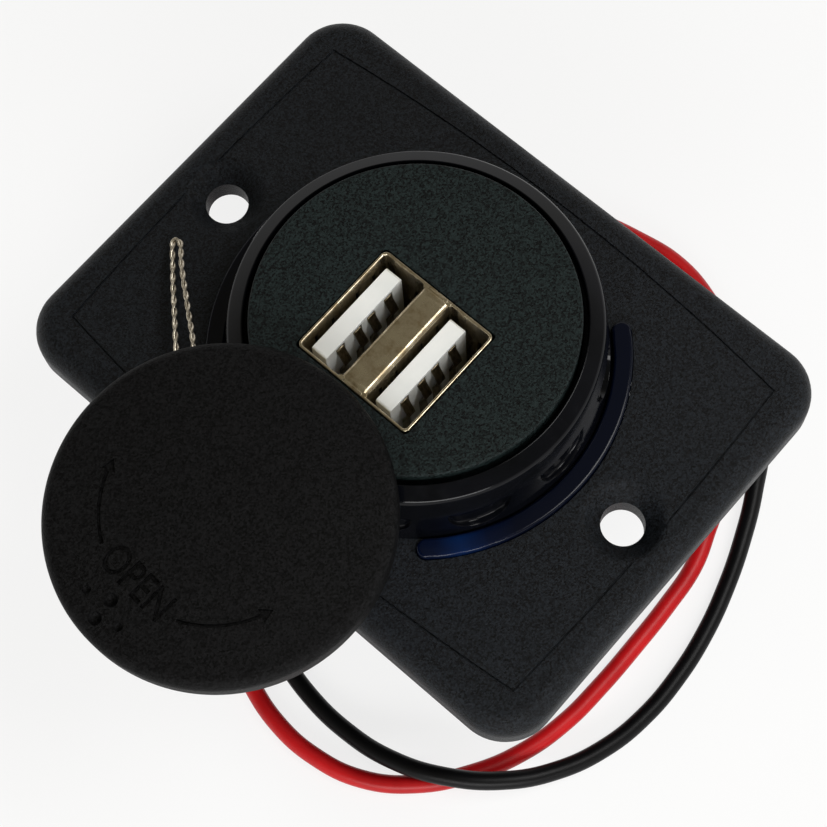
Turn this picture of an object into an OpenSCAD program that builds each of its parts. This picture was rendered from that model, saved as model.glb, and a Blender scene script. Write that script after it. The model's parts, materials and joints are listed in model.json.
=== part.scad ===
// Dual USB power socket for a vehicle panel: a barrel that carries two stacked ports, a
// countersunk mounting plate with a light ring, a tethered round cap and two supply leads.
// Millimetres. The origin is the centre of the plate's back plane, which seats on the
// panel. +X runs along the plate and +Z points out of the face.

/* [Mounting plate] */
// Length of the plate along X
plate_l = 67.5; // [66:0.5:80]
// Width of the plate along Y
plate_w = 50.2; // [50:0.1:60]
// Thickness of the plate
plate_t = 4.4; // [4:0.1:6]
// Radius of the plate's corners, seen from the front
plate_corner_r = 5.4; // [4.5:0.1:8]
// Radius of the round along the plate's front edge
plate_edge_r = 2.2; // [1:0.1:2.4]
// Thickness of the web above the hollow back
plate_web = 2.4; // [1.8:0.1:2.8]
// Width of the rim that seats on the panel
plate_rim = 2.6; // [2:0.1:2.8]
// Thickness of the stiffening ribs in the hollow back
rib_t = 1.2; // [0.8:0.1:2]
// Distance between the two screw holes
screw_spacing = 53.8; // [53:0.1:56]
// Radius of a screw hole
screw_hole_r = 2.25; // [1.5:0.05:2.6]
// Radius of a countersink at the plate's face
screw_head_r = 4.45; // [3.6:0.05:4.6]
// Depth of a countersink
screw_head_depth = 1.8; // [1:0.1:2.4]

/* [Scored line on the plate] */
// Length of the scored frame between its corners
score_l = 59.6; // [52:0.1:61]
// Width of the scored frame between its corners
score_w = 40.4; // [40:0.1:42]
// Outward bow of the frame's long sides
score_bow_long = 1.85; // [0.5:0.05:2]
// Outward bow of the frame's short sides
score_bow_short = 0.6; // [0.3:0.05:1]
// Width of the scored line
score_line = 0.2; // [0.15:0.05:0.6]
// Depth of the scored line
score_depth = 0.2; // [0.1:0.05:0.6]

/* [Barrel, nut and rear cover] */
// Outer radius of the threaded barrel
barrel_r = 14.25; // [14:0.05:14.4]
// Wall of the barrel
barrel_wall = 1.45; // [1:0.05:1.5]
// Depth of the socket behind the plate's back plane
rear_depth = 23.6; // [23:0.1:30]
// Width of the flange that bears on the plate's face, beyond the barrel
flange_w = 2.75; // [2.4:0.05:2.85]
// Thickness of that flange
flange_t = 2; // [1.2:0.1:3]
// Width of the retaining nut's flange, beyond its grip
nut_flange_w = 1.6; // [0.8:0.1:2]
// Thickness of the retaining nut's flange
nut_flange_t = 1.6; // [1:0.1:2.5]
// Distance from the barrel's wall to the outside of the nut's grip
nut_wall = 3.55; // [2.8:0.05:3.9]
// Height of the whole retaining nut
nut_h = 6.4; // [4:0.1:9]
// Number of finger grooves round the nut
nut_grooves = 24; // [12:1:32]
// Thickness of the rear cover's flange
cover_t = 1.2; // [0.8:0.1:2]
// Depth of the rear cover's plug ring
cover_plug = 1.8; // [1:0.1:2]

/* [Bezel and face] */
// Width by which the bezel's wall flares out from its top to its foot
bezel_flare = 0.97; // [0.6:0.01:1.3]
// Width of the bevel from the bezel's inner edge to its wall
bevel_w = 1.7; // [1.3:0.05:2]
// Height of the face above the plate
face_h = 10.3; // [9.6:0.1:14]
// Wall of the face disc's skirt round the barrel
face_wall = 1.9; // [1.6:0.05:2.1]
// Thickness of the face disc
face_t = 2.2; // [1.5:0.1:3]
// Height of the face above the bezel's inner edge
bezel_step = 0.75; // [0.3:0.05:1.2]
// Drop of the bevel from the inner edge to the wall
bevel_drop = 1; // [0.4:0.05:1.6]
// Width of the groove between the face and the bezel
cap_groove = 0.6; // [0.55:0.05:0.8]
// Depth of that groove
cap_groove_depth = 2; // [1:0.1:3]
// Number of half-moon recesses round the wall
recess_count = 12; // [6:1:16]
// Radius of a recess
recess_r = 3.2; // [2:0.1:3.4]
// Height of a recess's flat upper edge above the plate
recess_top = 5.2; // [4.6:0.1:6]
// Height of a recess's lowest point above the plate
recess_low = 1.3; // [0.6:0.1:1.6]
// Depth of a recess
recess_depth = 0.7; // [0.3:0.05:0.9]

/* [Light ring] */
// Width of the light bars that stand out beside the bezel
bar_w = 2; // [1.4:0.05:2.1]
// Half of the angle that each bar spans
bar_half_angle = 46.5; // [30:0.5:55]
// Height of the bars above the plate
bar_rise = 0.8; // [0.4:0.1:1.4]
// Thickness of the ring behind the web
light_ring_t = 1.5; // [0.8:0.1:1.6]

/* [Dual port] */
// Place of the port shell's centre along X
usb_x = 0.25; // [-0.5:0.05:0.5]
// Place of the port shell's centre along Y
usb_y = -3.15; // [-3.3:0.05:-2]
// Size of the shell along X, across both ports
usb_l = 14.15; // [14.15:0.05:14.4]
// Size of the shell along Y
usb_w = 13.1; // [13:0.05:13.3]
// Depth of the shell
usb_depth = 17.5; // [16:0.1:18.5]
// Thickness of the shell's sheet
sheet = 0.35; // [0.25:0.05:0.4]
// Radius of the shell's folded corners
shell_corner_r = 0.7; // [0.4:0.05:1]
// Opening of one port along X
port_h = 5.12; // [4.9:0.02:5.2]
// Thickness of a tongue
tongue_t = 1.9; // [1.6:0.05:2]
// Width of a tongue along Y
tongue_w = 11.1; // [10.6:0.1:11.3]
// Distance of a tongue's tip behind the shell's front
tongue_recess = 1.3; // [0.6:0.1:2.5]
// Gap between a tongue and the wall behind it
tongue_back_gap = 0.65; // [0.5:0.05:0.8]
// Width of a spring contact
contact_w = 1; // [0.7:0.05:1.2]
// Thickness of a spring contact
contact_t = 0.25; // [0.2:0.05:0.35]
// Rise of a contact's bend above the tongue
contact_rise = 0.85; // [0.4:0.05:1.1]
// Width of the springs cut in the shell
spring_w = 2; // [1.4:0.1:2.4]
// Length of the springs in the shell's wide walls
spring_l = 5.5; // [4:0.1:6.5]
// Distance of those springs behind the shell's front
spring_start = 1.9; // [1.5:0.1:3]
// Length of the springs in the ports' end walls
end_spring_l = 3; // [2:0.1:4]
// Distance of those springs behind the shell's front
end_spring_start = 4; // [3:0.1:5]

/* [Circuit board] */
// Thickness of the board
board_t = 1.6; // [1:0.1:1.6]
// Width of the board along Y
board_w = 17; // [15:0.1:17.2]
// Radius of the storage coil
coil_r = 3.5; // [2.5:0.1:3.6]
// Height of the storage coil
coil_h = 4.5; // [3:0.1:6]
// Radius of each capacitor
capacitor_r = 2.5; // [2:0.1:2.5]
// Height of each capacitor
capacitor_h = 7; // [5:0.1:8]

/* [Cap and tether] */
// Wall of the cap's skirt
cap_skirt_wall = 0.4; // [0.3:0.05:0.4]
// Height of the cap's straight skirt
cap_skirt_h = 1.7; // [1:0.1:2.4]
// Rise of the cap's dome above the skirt
cap_rise = 2.3; // [1.9:0.1:3]
// Radius of the round between the skirt and the dome
cap_edge_r = 1.2; // [0.6:0.1:1.6]
// Thickness of the cap's roof
cap_t = 1.3; // [0.9:0.1:1.7]
// Place of the cap's centre along X
cap_x = -0.4; // [-1:0.1:1]
// Place of the cap's centre along Y
cap_y = -27.1; // [-28:0.1:-26.5]
// Lean of the cap away from the socket
cap_lean = 2; // [0:0.5:4]
// Diameter of the tether wire
tether_d = 0.7; // [0.5:0.05:0.8]

/* [Leads] */
// Diameter of a lead
lead_d = 2; // [1.6:0.1:2]
// Distance between the two leads where they leave the barrel
lead_pitch = 2.5; // [2.5:0.1:3]
// Diameter of the tinned strands at a lead's end
strand_d = 1.2; // [0.8:0.1:1.4]
// Length of the tinned strands
strand_l = 6; // [4:0.5:8]

/* [Hidden] */
// Running gap between pieces that slide together
fit = 0.15;
// Gap between pieces that rest on each other
rest_gap = 0.1;
// Length by which a cutting shape passes the surface it cuts
over = 1;
round_fn = 96;
small_fn = 32;

web_z = plate_t - plate_web;
screw_boss_r = screw_head_r + 0.6;
flange_r = barrel_r + flange_w;
nut_grip_r = barrel_r + nut_wall;
nut_flange_r = nut_grip_r + nut_flange_w;
face_r = barrel_r + fit + face_wall;
bezel_inner_r = face_r + cap_groove;
bezel_top_r = bezel_inner_r + bevel_w;
bezel_foot_r = bezel_top_r + bezel_flare;
cap_r = bezel_inner_r - rest_gap;
barrel_hole_r = barrel_r + rest_gap;
hub_wall = 1.9;
hub_r = barrel_hole_r + hub_wall;
hub_relief = 0.2;
rib_angles = [38, 58];
bar_in_r = bezel_foot_r + rest_gap;
bar_mid_r = bar_in_r + bar_w / 2;
ring_out_r = bar_in_r + bar_w;

barrel_in_r = barrel_r - barrel_wall;
floor_z = -rear_depth;
barrel_rear_z = floor_z + cover_t;
flange_top = plate_t + flange_t;
face_top = plate_t + face_h;
face_under = face_top - face_t;
window_half = 3.6;
window_h = light_ring_t - 0.2;
nut_groove_r = 0.8;

bezel_inner_z = face_top - bezel_step;
bezel_wall_z = bezel_inner_z - bevel_drop;
bezel_bore_r = flange_r + fit;
bezel_edge_r = 0.35;
bezel_lip_r = 0.12;
face_edge_r = 0.25;
bar_edge_r = 0.35;
ledge_t = 1.2;
ledge_z = bezel_inner_z - cap_groove_depth;
bezel_draft = atan((bezel_foot_r - bezel_top_r) / (bezel_wall_z - plate_t));
recess_z = recess_low + recess_r;

port_w = usb_w - 2 * sheet;
port_pitch = usb_l - 2 * sheet - port_h;
divider_w = port_pitch - port_h;
usb_rear = face_top - usb_depth;
base_t = 4;
back_t = 1.6;
insulator_rear = usb_rear - back_t;
tongue_top = face_top - tongue_recess;
tongue_face = tongue_back_gap + tongue_t - port_h / 2;
contact_groove = contact_t + 0.2;
contact_places = [-3.5, -1, 1, 3.5];
contact_bend = 3.6;
contact_bend_half = 0.6;
contact_slope = 3;
contact_tip = 1.2;
leg_w = 0.6;
leg_levels = [insulator_rear - 1.8, insulator_rear - 0.6];
spring_slit = 0.4;
spring_bend = 3.5;
spring_places = [-3, 3];
port_corner_r = shell_corner_r - sheet;

board_x = usb_x + usb_l / 2 + fit;
board_far_x = board_x + board_t;
board_top = face_under - 0.3;
board_rear = barrel_rear_z + cover_plug + 1.1;
leg_out = board_far_x + 0.8;
tab_places = [-3.2, 4.6];
tab_levels = [usb_rear + 6.8, usb_rear + 1.8];
tab_w = 1.2;
chip_size = [1.5, 4, 5];
chip_gap = 2.3;
chip_z = leg_levels[0] - chip_gap - chip_size.z;
coil_y = -3.6;
coil_gap = 5.5;
coil_z = insulator_rear - coil_gap - coil_r;
capacitor_y = 4.4;
output_gap = 1.7;
output_z = insulator_rear - output_gap - capacitor_r;
capacitor_gap = 0.6;
input_z = output_z - 2 * capacitor_r - capacitor_gap;
sleeve_groove_h = 0.3;
sleeve_groove_t = 0.2;
sleeve_foot_h = 1;
diode_y = -5.6;
diode_rise = 1.3;
diode_size = [1.9, 2.6, 4.3];
led_y = 2.2;
led_size = [1.2, 1.6, 1.4];

exit_rise = 5.6;
exit_z = floor_z + exit_rise;
grommet_half_w = lead_pitch / 2 + lead_d / 2 + 0.55;
grommet_half_h = lead_d / 2 + 0.7;
grommet_lip = 0.6;

// The cap's skirt rests on the face disc where its inside crosses the disc's edge
cap_skirt_in_r = cap_r - cap_skirt_wall;
cap_reach = norm([cap_x, cap_y]);
rest_along = (face_r * face_r - cap_skirt_in_r * cap_skirt_in_r + cap_reach * cap_reach)
    / (2 * cap_reach);
rest_across = sqrt(face_r * face_r - rest_along * rest_along);
rest_y = (cap_y * rest_along - abs(cap_x) * rest_across) / cap_reach;
cap_rim_z = face_top + rest_gap + tan(cap_lean) * (cap_y - rest_y);
cap_boss = [-9.8, 2.5];
cap_boss_r = 1.4;
cap_boss_hole = 1.2;
tether_gap = 1.693;
tether_angle = 245.738;
tether_hole = (ring_out_r + tether_gap) * [cos(tether_angle), sin(tether_angle)];
crimp_r = 1;
crimp_h = 1.5;

// Route of the red lead, from the board round the socket to its bare end
red_route = [
    [7.2, -5, -18.4], [2, -3.9, -18.4], [-3, -2.4, -18.2], [-8, -1.25, -18],
    [-12, -1.25, -18], [-16, -1.25, -18], [-20.6, -0.6, -19.4], [-24.4, 2.2, -21.3],
    [-26.4, 6.9, -22.5], [-26, 12.2, -22.6], [-23.8, 17.5, -22.6], [-20, 22.4, -22.6],
    [-14.8, 26.7, -22.6], [-9.2, 30.1, -22.6], [-3.2, 32.9, -22.6], [2.6, 34.4, -22.6],
    [8.4, 35, -22.6], [13.8, 33.8, -22.6], [18.8, 31.4, -22.6], [23.4, 28.2, -22.6],
    [27, 23.8, -22.6], [29, 18.4, -22.6], [30.6, 13.2, -22.6], [32.4, 8, -22.6],
    [33, 2.4, -22.6], [33.2, -3.4, -22.6], [33.2, -9.2, -22.6], [32.8, -14.8, -22.6],
    [31.4, -20.4, -22.6], [28.8, -25.6, -22.6], [25, -30.4, -22.6], [20.2, -33.8, -22.6],
    [14.8, -35.3, -22.6], [9.4, -35.3, -22.6], [4, -33.9, -22.6], [-1.6, -31.4, -22.6],
    [-7.2, -28.7, -22.6], [-12.8, -26, -22.6], [-18.2, -22.9, -22.6], [-23.2, -19.4, -22.6],
    [-27, -15, -22.6]];

// Route of the black lead, which passes over the red one twice
black_route = [
    [7.2, -1.2, -18.4], [2, -0.6, -18.4], [-3, 0.6, -18.2], [-8, 1.25, -18],
    [-12, 1.25, -18], [-16, 1.25, -18], [-20, 2.6, -19.6], [-22.6, 6.2, -21.6],
    [-22.6, 11.4, -22.6], [-20, 16.6, -22.6], [-15.8, 21, -22.6], [-10.6, 24.5, -22.6],
    [-5, 27.1, -22.6], [1, 28.8, -22.6], [7, 29.5, -22.6], [13, 29.3, -22.4],
    [18.8, 28.2, -21.5], [24.2, 26.4, -20.6], [29, 23.6, -20.6], [32.2, 18.8, -21.8],
    [34.6, 13.8, -22.6], [36.6, 8.4, -22.6], [38.1, 2.8, -22.6], [38.9, -3, -22.6],
    [38.9, -8.6, -22.6], [37.9, -14, -22.5], [35.6, -19.4, -21.9], [32, -24.2, -20.8],
    [27, -28, -20.4], [21.6, -30.2, -21.2], [15.8, -31, -22.4], [9.8, -30.7, -22.6],
    [3.8, -29.2, -22.6], [-2, -27, -22.6], [-7.8, -24.4, -22.6], [-13.4, -21.4, -22.6],
    [-18.6, -17.8, -22.6], [-22.8, -13.6, -22.6], [-26, -9.2, -22.6]];

// Route of the tether, from the plate out to its hairpin and back under the cap
tether_route = [
    [-9.6, -21.3, 1.9], [-9.6, -21.3, 3.4], [-9.6, -21.3, 4.9], [-10.3, -21.2, 6.2],
    [-11.8, -20.6, 7], [-13.4, -19.6, 7.3], [-15, -18.5, 7.3], [-16.6, -17.4, 7.3],
    [-18.2, -16.1, 7.2], [-20, -14.4, 7], [-21.8, -12.7, 6.7], [-23.6, -11, 6.4],
    [-25.3, -9.3, 6.1], [-26.7, -7.9, 5.9], [-26.8, -7.2, 5.9], [-26, -7.4, 6],
    [-24.6, -8.7, 6.5], [-22.9, -10.1, 7], [-21.2, -11.4, 7.5], [-19.5, -12.7, 8.1],
    [-17.9, -13.9, 8.6], [-16.4, -15.1, 9], [-15, -16.6, 9.4], [-13.8, -18.2, 9.9],
    [-12.6, -20, 10.6], [-11.6, -21.8, 11.5], [-10.7, -23.4, 12.8], [-10.2, -24.6, 14.4],
    [-10.2, -24.6, 15.5]];

// Points of an arc of radius r that rounds the corner b between a and c
function corner_arc(a, b, c, r, n = 5) =
    let (u = (a - b) / norm(a - b), v = (c - b) / norm(c - b),
         half = acos(u * v) / 2,
         centre = b + (u + v) / norm(u + v) * r / sin(half),
         p = b + u * r / tan(half) - centre,
         q = b + v * r / tan(half) - centre,
         a0 = atan2(p.y, p.x),
         turn = (atan2(q.y, q.x) - a0 + 540) % 360 - 180)
    [for (i = [0:n]) centre + r * [cos(a0 + turn * i / n), sin(a0 + turn * i / n)]];

// Outline whose corners [x, y, radius] are rounded where their radius is above zero
function rounded(corners) = let (n = len(corners))
    [for (i = [0:n - 1]) let (
        a = corners[(i + n - 1) % n], b = corners[i], c = corners[(i + 1) % n])
        each b[2] > 0 ? corner_arc([a.x, a.y], [b.x, b.y], [c.x, c.y], b[2]) : [[b.x, b.y]]];

function unit(v) = v / norm(v);

// Direction of a route at point i
function heading(route, i) =
    unit(route[min(i + 1, len(route) - 1)] - route[max(i - 1, 0)]);

// Sideways vectors along a route, carried from point to point without twist
function sideways(route, first) = [
    for (i = 0, s = unit(first - (first * heading(route, 0)) * heading(route, 0));
         i < len(route);
         i = i + 1,
         s = i < len(route)
             ? unit(s - (s * heading(route, i)) * heading(route, i)) : s) s];

// Solid round tube along a route
module tube(route, d, first = [0, 0, 1], sides = 8) {
    side = sideways(route, first);
    points = [for (i = [0:len(route) - 1]) let (across = cross(heading(route, i), side[i]))
        for (k = [0:sides - 1])
            route[i] + d / 2 * (cos(360 * k / sides) * side[i] + sin(360 * k / sides) * across)];
    walls = [for (i = [0:len(route) - 2], k = [0:sides - 1]) let (j = (k + 1) % sides)
        [i * sides + k, (i + 1) * sides + k, (i + 1) * sides + j, i * sides + j]];
    start = [[for (k = [0:sides - 1]) k]];
    end = [[for (k = [sides - 1:-1:0]) (len(route) - 1) * sides + k]];
    polyhedron(points, concat(walls, start, end));
}

// Straight strands that continue a route past its last point
module strands(route) {
    n = len(route);
    way = unit(route[n - 1] - route[n - 2]);
    translate(route[n - 1]) rotate([0, 90, atan2(way.y, way.x)])
        cylinder(h = strand_l, d = strand_d, $fn = small_fn);
}

module rounded_rectangle(l, w, r) {
    square([l - 2 * r, w], center = true);
    square([l, w - 2 * r], center = true);
    for (x = [-1, 1], y = [-1, 1])
        translate([x * (l / 2 - r), y * (w / 2 - r)]) circle(r, $fn = small_fn);
}

// Section of the plate's edge band, from a corner's axis out to the rounded edge
module edge_section() {
    square([plate_corner_r - plate_edge_r, plate_edge_r]);
    translate([plate_corner_r - plate_edge_r, 0]) intersection() {
        circle(plate_edge_r, $fn = 48);
        square(plate_edge_r);
    }
}

// The plate's outer form, with its front edge rounded all the way round
module plate_block() {
    flat_l = plate_l - 2 * plate_corner_r;
    flat_w = plate_w - 2 * plate_corner_r;
    low = plate_t - plate_edge_r;
    linear_extrude(low) rounded_rectangle(plate_l, plate_w, plate_corner_r);
    translate([0, 0, low]) {
        linear_extrude(plate_edge_r) square([flat_l, flat_w], center = true);
        for (side = [[0, flat_l, flat_w], [90, flat_w, flat_l]], turn = [0, 180])
            rotate([0, 0, side[0] + turn]) translate([side[1] / 2, side[2] / 2, 0])
                rotate([90, 0, 0]) linear_extrude(side[2]) edge_section();
        for (x = [-1, 1], y = [-1, 1])
            translate([x * flat_l / 2, y * flat_w / 2, 0])
                rotate([0, 0, atan2(y, x) - 45])
                rotate_extrude(angle = 90, $fn = round_fn) edge_section();
    }
}

// Four arcs that meet at the corners of the scored frame, drawn in by an inset
module score_outline(inset) {
    long_r = score_l * score_l / (8 * score_bow_long) + score_bow_long / 2;
    short_r = score_w * score_w / (8 * score_bow_short) + score_bow_short / 2;
    long_c = long_r - score_w / 2 - score_bow_long;
    short_c = short_r - score_l / 2 - score_bow_short;
    intersection() {
        both_ways(long_c, 90) circle(long_r - inset, $fn = 720);
        both_ways(short_c, 0) circle(short_r - inset, $fn = 720);
    }
}

// The overlap of a shape moved by d both ways along one axis
module both_ways(d, turn) {
    intersection() {
        rotate([0, 0, turn]) translate([d, 0]) children();
        rotate([0, 0, turn]) translate([-d, 0]) children();
    }
}

// Plan of the hollow back, round the hub, the screw bosses and the ribs, with room for
// the light ring and the tether's crimp
module hollow_plan() {
    difference() {
        rounded_rectangle(plate_l - 2 * plate_rim, plate_w - 2 * plate_rim,
            plate_corner_r - plate_rim);
        for (x = [-1, 1]) translate([x * screw_spacing / 2, 0])
            circle(screw_boss_r, $fn = small_fn * 2);
        for (side = [0, 180], a = rib_angles, way = [-1, 1])
            rotate([0, 0, side + way * a]) translate([0, -rib_t / 2])
                square([plate_l, rib_t]);
        circle(hub_r, $fn = round_fn);
    }
    difference() {
        circle(ring_out_r + fit, $fn = round_fn);
        circle(hub_r, $fn = round_fn);
    }
    translate([barrel_r, -window_half]) square([hub_wall + 1, 2 * window_half]);
    translate(tether_hole) circle(crimp_r + fit, $fn = small_fn);
}

// Upright section of a light bar, centred on x = 0, grown by a clearance
module bar_section(height, grow, edge) {
    half = bar_w / 2 + grow;
    polygon(rounded([[-half, 0, 0], [half, 0, 0], [half, height, edge], [-half, height, edge]]));
}

// One bar with round ends, bent about the Z axis and centred on +X
module light_bar(height, grow = 0, edge = 0) {
    rotate([0, 0, -bar_half_angle]) rotate_extrude(angle = 2 * bar_half_angle, $fn = 180)
        translate([bar_mid_r, 0]) bar_section(height, grow, edge);
    for (way = [-1, 1]) rotate([0, 0, way * bar_half_angle]) translate([bar_mid_r, 0, 0])
        rotate([0, 0, way > 0 ? 0 : 180]) rotate_extrude(angle = 180, $fn = small_fn)
            intersection() {
                bar_section(height, grow, edge);
                square([bar_w, height]);
            }
}

module mounting_plate() {
    color("#17191b") difference() {
        plate_block();
        translate([0, 0, -over]) linear_extrude(web_z + over) hollow_plan();
        translate([0, 0, -over]) cylinder(h = plate_t + 2 * over, r = barrel_hole_r, $fn = round_fn);
        translate([0, 0, hub_relief - over]) cylinder(h = over, r = hub_r + fit / 2, $fn = round_fn);
        for (x = [-1, 1]) translate([x * screw_spacing / 2, 0, 0]) {
            translate([0, 0, -over])
                cylinder(h = plate_t + 2 * over, r = screw_hole_r, $fn = small_fn * 2);
            translate([0, 0, plate_t - screw_head_depth]) cylinder(h = screw_head_depth + 0.001,
                r1 = screw_hole_r, r2 = screw_head_r, $fn = small_fn * 2);
        }
        for (turn = [0, 180]) rotate([0, 0, turn]) translate([0, 0, web_z - over])
            light_bar(plate_web + 2 * over, fit / 2);
        translate([tether_hole.x, tether_hole.y, 0])
            cylinder(h = plate_t + over, d = tether_d + 0.3, $fn = small_fn);
        translate([0, 0, plate_t - score_depth]) linear_extrude(score_depth + over) difference() {
            score_outline(0);
            score_outline(score_line);
        }
    }
}

// Oval hole in the barrel's wall for the leads, grown by a margin
module exit_plan(grow) {
    half_h = grommet_half_h + grow;
    half_w = grommet_half_w + grow;
    square([2 * (half_w - half_h), 2 * half_h], center = true);
    for (way = [-1, 1]) translate([way * (half_w - half_h), 0]) circle(half_h, $fn = small_fn);
}

// Turns a plan into a block that runs out along -X from one radius to another
module along_exit(from_r, to_r) {
    translate([-from_r, 0, exit_z]) rotate([90, 0, -90]) linear_extrude(to_r - from_r) children();
}

module barrel() {
    color("#1b1d20") {
        difference() {
            union() {
                translate([0, 0, barrel_rear_z])
                    cylinder(h = face_under - 0.2 - barrel_rear_z, r = barrel_r, $fn = round_fn);
                translate([0, 0, plate_t]) cylinder(h = flange_t, r = flange_r, $fn = round_fn);
            }
            translate([0, 0, barrel_rear_z - over])
                cylinder(h = face_top - barrel_rear_z, r = barrel_in_r, $fn = round_fn);
            translate([barrel_in_r - over, -window_half, web_z - 0.1 - window_h])
                cube([barrel_wall + 2 * over, 2 * window_half, window_h]);
            along_exit(barrel_in_r - 2 * over, barrel_r + over) exit_plan(rest_gap / 2);
        }
        board_rails();
    }
}

// Rails inside the barrel that hold both long edges of the circuit board
module board_rails() {
    rail = 0.9;
    bite = 1.4;
    intersection() {
        translate([0, 0, board_rear]) cylinder(h = board_top - board_rear,
            r = barrel_in_r + barrel_wall / 2, $fn = round_fn);
        for (way = [-1, 1]) {
            translate([board_far_x + rest_gap, way > 0 ? board_w / 2 - bite : -barrel_r, board_rear])
                cube([rail, barrel_r - board_w / 2 + bite, board_top - board_rear]);
            translate([board_x - rest_gap - rail, way > 0 ? board_w / 2 + fit : -barrel_r,
                board_rear]) cube([rail + board_t + 2 * rest_gap,
                    barrel_r - board_w / 2 - fit, insulator_rear - fit - board_rear]);
        }
    }
}

// Plan of the nut's grip, with a finger groove between every two ribs
module nut_plan() {
    difference() {
        circle(nut_grip_r, $fn = round_fn);
        for (i = [0:nut_grooves - 1]) rotate([0, 0, (i + 0.5) * 360 / nut_grooves])
            translate([nut_grip_r + nut_groove_r / 2, 0]) circle(nut_groove_r, $fn = small_fn);
    }
}

module retaining_nut() {
    color("#1d1f22") translate([0, 0, hub_relief - nut_h]) difference() {
        union() {
            linear_extrude(nut_h - nut_flange_t) nut_plan();
            translate([0, 0, nut_h - nut_flange_t])
                cylinder(h = nut_flange_t, r = nut_flange_r, $fn = round_fn);
        }
        translate([0, 0, -over]) cylinder(h = nut_h + 2 * over, r = barrel_r + rest_gap, $fn = round_fn);
    }
}

module rear_cover() {
    color("#1b1d20") translate([0, 0, floor_z]) difference() {
        union() {
            cylinder(h = cover_t, r = barrel_r, $fn = round_fn);
            cylinder(h = cover_t + cover_plug, r = barrel_in_r - rest_gap, $fn = round_fn);
        }
        translate([0, 0, cover_t])
            cylinder(h = cover_plug + over, r = barrel_in_r - rest_gap - 1, $fn = round_fn);
    }
}

module lead_grommet() {
    color("#202124") difference() {
        union() {
            along_exit(barrel_in_r - 0.9, barrel_r + 1.2) exit_plan(0);
            along_exit(barrel_r + rest_gap / 2, barrel_r + 1.2) exit_plan(grommet_lip);
        }
        for (way = [-1, 1]) translate([0, way * lead_pitch / 2, exit_z]) rotate([0, -90, 0])
            cylinder(h = barrel_r + 3, d = lead_d + rest_gap, $fn = small_fn);
    }
}

module bezel() {
    color("#15161b") difference() {
        rotate_extrude($fn = round_fn * 2) polygon(rounded([
            [bezel_bore_r, plate_t, 0],
            [bezel_foot_r, plate_t, 0],
            [bezel_top_r, bezel_wall_z, bezel_edge_r],
            [bezel_inner_r, bezel_inner_z, bezel_lip_r],
            [bezel_inner_r, ledge_z, 0],
            [face_r + fit, ledge_z, 0],
            [face_r + fit, ledge_z - ledge_t, 0],
            [bezel_bore_r, ledge_z - ledge_t, 0]]));
        for (i = [0:recess_count - 1]) rotate([0, 0, i * 360 / recess_count]) wall_recess();
    }
}

// Half-moon recess in the flared wall: a round pocket with a flat upper edge
module wall_recess() {
    wall_r = bezel_foot_r - tan(bezel_draft) * recess_z;
    translate([wall_r, 0, plate_t + recess_z]) rotate([0, -bezel_draft, 0]) intersection() {
        translate([-recess_depth, 0, 0]) rotate([0, 90, 0])
            cylinder(h = recess_depth + 2 * over, r = recess_r, $fn = small_fn * 2);
        translate([-over, -recess_r - over, -recess_r - over])
            cube([4 * over, 2 * (recess_r + over), recess_top - recess_z + recess_r + over]);
    }
}

module face_disc() {
    skirt_in_r = barrel_r + fit;
    color("#1b1d1f") difference() {
        rotate_extrude($fn = round_fn * 2) polygon(rounded([
            [0, face_under, 0],
            [skirt_in_r, face_under, 0],
            [skirt_in_r, flange_top, 0],
            [face_r, flange_top, 0],
            [face_r, face_top, face_edge_r],
            [0, face_top, 0]]));
        translate([usb_x, usb_y, face_under - over]) linear_extrude(face_t + 2 * over)
            square([usb_l + 2 * rest_gap, usb_w + 2 * rest_gap], center = true);
    }
}

module light_ring() {
    color("#1c4f9c") {
        translate([0, 0, web_z - light_ring_t]) difference() {
            cylinder(h = light_ring_t, r = ring_out_r + fit / 2, $fn = round_fn);
            translate([0, 0, -over])
                cylinder(h = light_ring_t + 2 * over, r = hub_r + fit, $fn = round_fn);
        }
        for (turn = [0, 180]) rotate([0, 0, turn]) translate([0, 0, web_z])
            light_bar(plate_web + bar_rise, 0, bar_edge_r);
    }
}

// Places a child at the front end of each spring in the ports' wide walls, +X outwards
module on_wide_walls() {
    for (port = [-1, 1], turn = [0, 180], y = spring_places)
        translate([usb_x + port * port_pitch / 2, usb_y, face_top - spring_start])
            rotate([0, 0, turn]) translate([port_h / 2 + sheet / 2, y, 0]) children();
}

// Places a child at the front end of each spring in the ports' end walls, +X outwards
module on_end_walls() {
    for (port = [-1, 1], turn = [-90, 90])
        translate([usb_x + port * port_pitch / 2, usb_y, face_top - end_spring_start])
            rotate([0, 0, turn]) translate([port_w / 2 + sheet / 2, 0, 0]) children();
}

// Window round a spring, open at both its sides and at its free rear end
module spring_window(length) {
    translate([-1.5 * sheet, -spring_w / 2 - spring_slit, -length - spring_slit])
        cube([3 * sheet, spring_w + 2 * spring_slit, length + spring_slit]);
}

// Spring that hangs from its front end and is bent into the port
module shell_spring(length) {
    rotate([0, spring_bend, 0]) translate([-sheet / 2, -spring_w / 2, -length])
        cube([sheet * 0.9, spring_w, length + sheet]);
}

// Opening of one port, right through the shell
module port_opening(port) {
    translate([usb_x + port * port_pitch / 2, usb_y, usb_rear - over])
        linear_extrude(usb_depth + 2 * over) rounded_rectangle(port_h, port_w, port_corner_r);
}

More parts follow.
